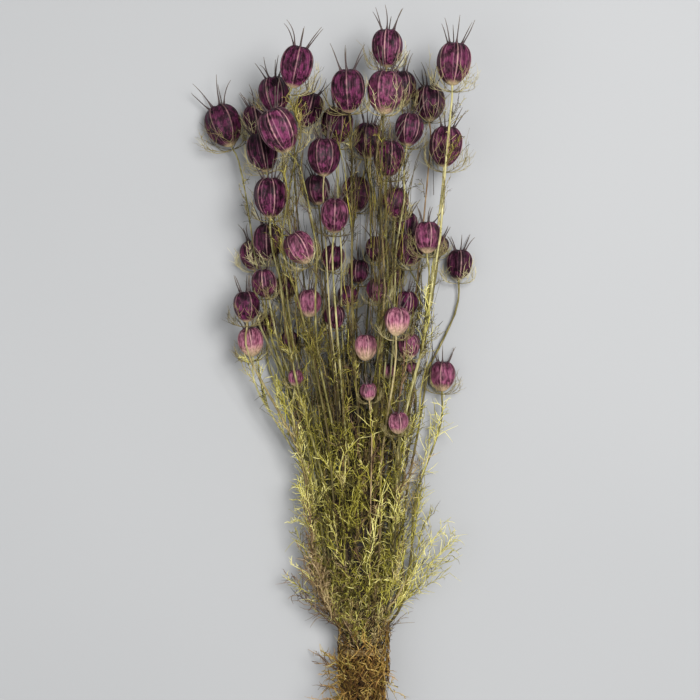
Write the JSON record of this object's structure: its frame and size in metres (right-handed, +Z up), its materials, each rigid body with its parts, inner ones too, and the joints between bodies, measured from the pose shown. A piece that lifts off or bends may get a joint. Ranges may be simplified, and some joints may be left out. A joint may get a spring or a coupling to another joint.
{
  "type": "dried nigella seed pod bunch",
  "caption": "Dried bunch of ribbed purple nigella seed pods with thin horns, on leafy stems held by a tie near the cut ends, lying down.",
  "frame": {"origin": "middle of the flat spot under the tie, on the surface that the bunch lies on", "axes": "+Y from the cut ends to the seed heads, +Z up from the surface, +X to the bunch's right as the picture shows it"},
  "size_m": [0.1919, 0.4671, 0.0849],
  "materials": {
    "pod": "dry, papery, slight sheen",
    "green": "dry, matt",
    "dry_leaf": "dry, matt",
    "tie": "matt plant fibre"
  },
  "bodies": {
    "root": {"pod_01": "pod", "pod_02": "pod", "pod_03": "pod", "pod_04": "pod", "pod_05": "pod", "pod_06": "pod", "pod_07": "pod", "pod_08": "pod", "pod_09": "pod", "pod_10": "pod", "pod_11": "pod", "pod_12": "pod", "pod_13": "pod", "pod_14": "pod", "pod_15": "pod", "pod_16": "pod", "pod_17": "pod", "pod_18": "pod", "pod_19": "pod", "pod_20": "pod", "pod_21": "pod", "pod_22": "pod", "pod_23": "pod", "pod_24": "pod", "pod_25": "pod", "pod_26": "pod", "pod_27": "pod", "pod_28": "pod", "pod_29": "pod", "pod_30": "pod", "pod_31": "pod", "pod_32": "pod", "pod_33": "pod", "pod_34": "pod", "pod_35": "pod", "pod_36": "pod", "pod_37": "pod", "pod_38": "pod", "pod_39": "pod", "pod_40": "pod", "pod_41": "pod", "pod_42": "pod", "pod_43": "pod", "pod_44": "pod", "pod_45": "pod", "pod_46": "pod", "pod_47": "pod", "pod_48": "pod", "pod_49": "pod", "pod_50": "pod", "pod_51": "pod", "pod_52": "pod", "pod_53": "pod", "pod_54": "pod", "pod_55": "pod", "pod_56": "pod", "leafy_stems": "green", "dry_base_leaves": "dry_leaf", "tie": "tie"}
  },
  "joints": []
}
